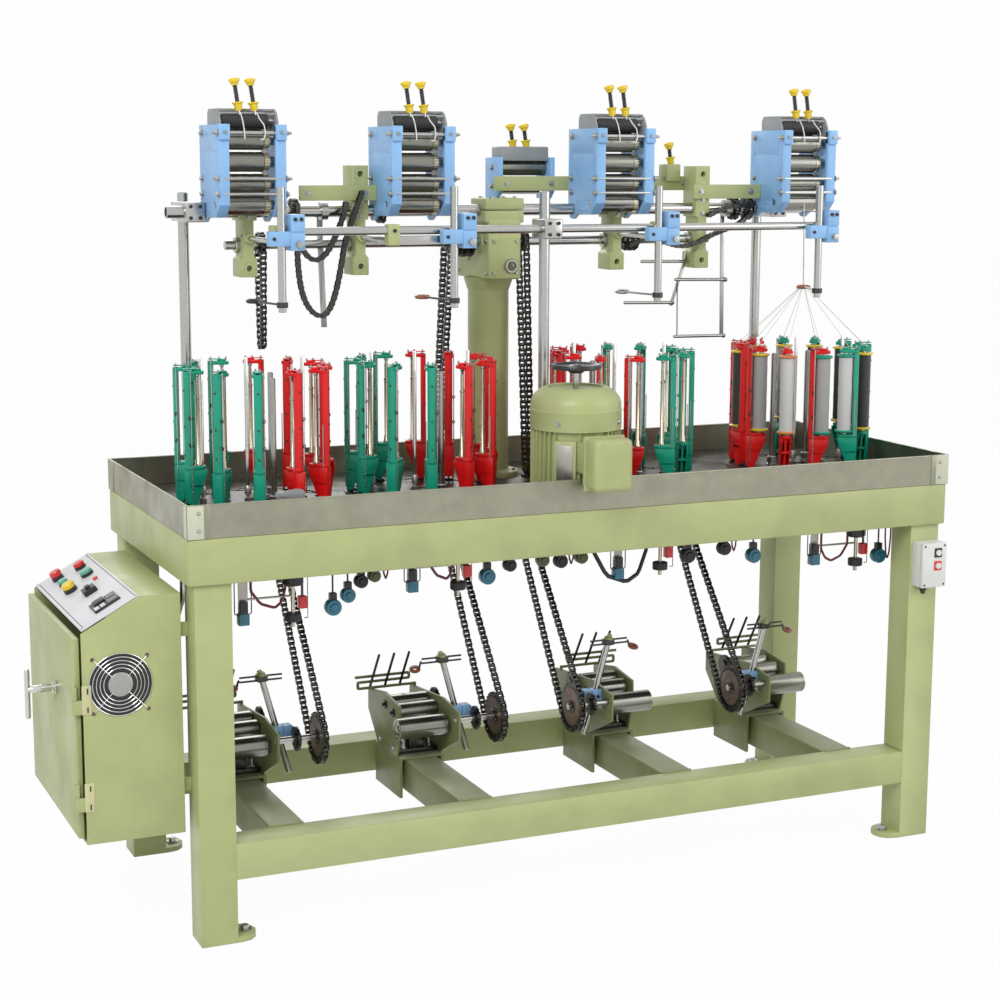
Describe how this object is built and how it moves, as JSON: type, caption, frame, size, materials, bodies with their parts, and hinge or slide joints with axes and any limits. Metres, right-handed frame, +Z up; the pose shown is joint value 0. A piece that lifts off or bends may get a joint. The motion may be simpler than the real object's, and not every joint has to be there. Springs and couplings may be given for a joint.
{
  "type": "braiding machine",
  "caption": "Table-mounted braiding machine with ringed bobbin carriers, take-up rollers above, let-off rollers below and a control cabinet.",
  "frame": {"origin": "centre of the bounding box's bottom face, on the floor under the machine", "axes": "+X along the table towards the end away from the cabinet, +Y from the operator's front to the back, +Z up"},
  "size_m": [2.198, 0.793, 1.846],
  "materials": {
    "frame_paint": "pale yellow-green enamel, slightly soiled",
    "deck_steel": "dark oily steel plate",
    "galvanised_steel": "dull bare sheet steel",
    "steel": "turned steel",
    "chain_steel": "black oiled steel",
    "black_plastic": "black moulded plastic",
    "blue_paint": "light blue enamel",
    "carrier_green": "green enamel on castings",
    "carrier_red": "red enamel on castings",
    "panel_sheet": "satin grey panel sheet",
    "switch_plastic": "light grey moulding"
  },
  "bodies": {
    "machine": {"front_legs_and_rail": "frame_paint", "back_legs_and_rail": "frame_paint", "apron": "frame_paint", "deck": "deck_steel", "tray": "galvanised_steel", "motor": "frame_paint", "column_and_gearbox": "frame_paint", "left_pole": "steel", "right_pole": "steel", "middle_pole": "steel", "support_tube_and_hangers": "frame_paint", "guide_bar_and_eyes": "steel", "drive_shaft_and_chains": "chain_steel", "cabinet": "frame_paint", "control_panel": "panel_sheet", "fan_guard": "chain_steel", "switch_box": "switch_plastic", "rear_takeup_unit": "blue_paint", "cross_beam_1": "frame_paint", "head_1_green_carriers": "carrier_green", "head_1_red_carriers": "carrier_red", "takeup_1_frame": "blue_paint", "letoff_1_stand": "frame_paint", "letoff_1_chain_drive": "chain_steel", "cross_beam_2": "frame_paint", "head_2_green_carriers": "carrier_green", "head_2_red_carriers": "carrier_red", "takeup_2_frame": "blue_paint", "letoff_2_stand": "frame_paint", "letoff_2_chain_drive": "chain_steel", "cross_beam_3": "frame_paint", "head_3_green_carriers": "carrier_green", "head_3_red_carriers": "carrier_red", "takeup_3_frame": "blue_paint", "letoff_3_stand": "frame_paint", "letoff_3_chain_drive": "chain_steel", "cross_beam_4": "frame_paint", "head_4_green_carriers": "carrier_green", "head_4_red_carriers": "carrier_red", "takeup_4_frame": "blue_paint", "letoff_4_stand": "frame_paint", "letoff_4_chain_drive": "chain_steel"},
    "cabinet_door_body": {"cabinet_door": "frame_paint"},
    "door_handle_body": {"door_handle": "steel"},
    "motor_handwheel_body": {"motor_handwheel": "black_plastic"},
    "takeup_1_bottom_roller_body": {"takeup_1_bottom_roller": "steel"},
    "takeup_2_bottom_roller_body": {"takeup_2_bottom_roller": "steel"},
    "takeup_3_bottom_roller_body": {"takeup_3_bottom_roller": "steel"},
    "takeup_4_bottom_roller_body": {"takeup_4_bottom_roller": "steel"},
    "letoff_1_front_roller_body": {"letoff_1_front_roller": "steel"},
    "letoff_2_front_roller_body": {"letoff_2_front_roller": "steel"},
    "letoff_3_front_roller_body": {"letoff_3_front_roller": "steel"},
    "letoff_4_front_roller_body": {"letoff_4_front_roller": "steel"}
  },
  "joints": [
    {"name": "door_hinge", "type": "hinge", "parent": "machine", "child": "cabinet_door_body", "pos_m": [-1.031, -0.2545, 0.471], "axis": [0, 0, 1], "range_deg": [0, 110]},
    {"name": "handle_turn", "type": "hinge", "parent": "cabinet_door_body", "child": "door_handle_body", "pos_m": [-1.029, -0.0685, 0.545], "axis": [1, 0, 0], "range_deg": [0, 90]},
    {"name": "handwheel_spin", "type": "hinge", "parent": "machine", "child": "motor_handwheel_body", "pos_m": [0.146, -0.1965, 1.2], "axis": [0, 0, 1], "continuous": true},
    {"name": "takeup_roller_1_spin", "type": "hinge", "parent": "machine", "child": "takeup_1_bottom_roller_body", "pos_m": [-0.541, 0.0695, 1.566], "axis": [1, 0, 0], "continuous": true},
    {"name": "takeup_roller_2_spin", "type": "hinge", "parent": "machine", "child": "takeup_2_bottom_roller_body", "pos_m": [-0.136, 0.0695, 1.566], "axis": [1, 0, 0], "continuous": true},
    {"name": "takeup_roller_3_spin", "type": "hinge", "parent": "machine", "child": "takeup_3_bottom_roller_body", "pos_m": [0.384, 0.0695, 1.566], "axis": [1, 0, 0], "continuous": true},
    {"name": "takeup_roller_4_spin", "type": "hinge", "parent": "machine", "child": "takeup_4_bottom_roller_body", "pos_m": [0.899, 0.0695, 1.566], "axis": [1, 0, 0], "continuous": true},
    {"name": "letoff_roller_1_spin", "type": "hinge", "parent": "machine", "child": "letoff_1_front_roller_body", "pos_m": [-0.567, 0.0735, 0.315], "axis": [1, 0, 0], "continuous": true},
    {"name": "letoff_roller_2_spin", "type": "hinge", "parent": "machine", "child": "letoff_2_front_roller_body", "pos_m": [-0.113, 0.0735, 0.315], "axis": [1, 0, 0], "continuous": true},
    {"name": "letoff_roller_3_spin", "type": "hinge", "parent": "machine", "child": "letoff_3_front_roller_body", "pos_m": [0.411, 0.0735, 0.315], "axis": [1, 0, 0], "continuous": true},
    {"name": "letoff_roller_4_spin", "type": "hinge", "parent": "machine", "child": "letoff_4_front_roller_body", "pos_m": [0.865, 0.0735, 0.315], "axis": [1, 0, 0], "continuous": true}
  ]
}
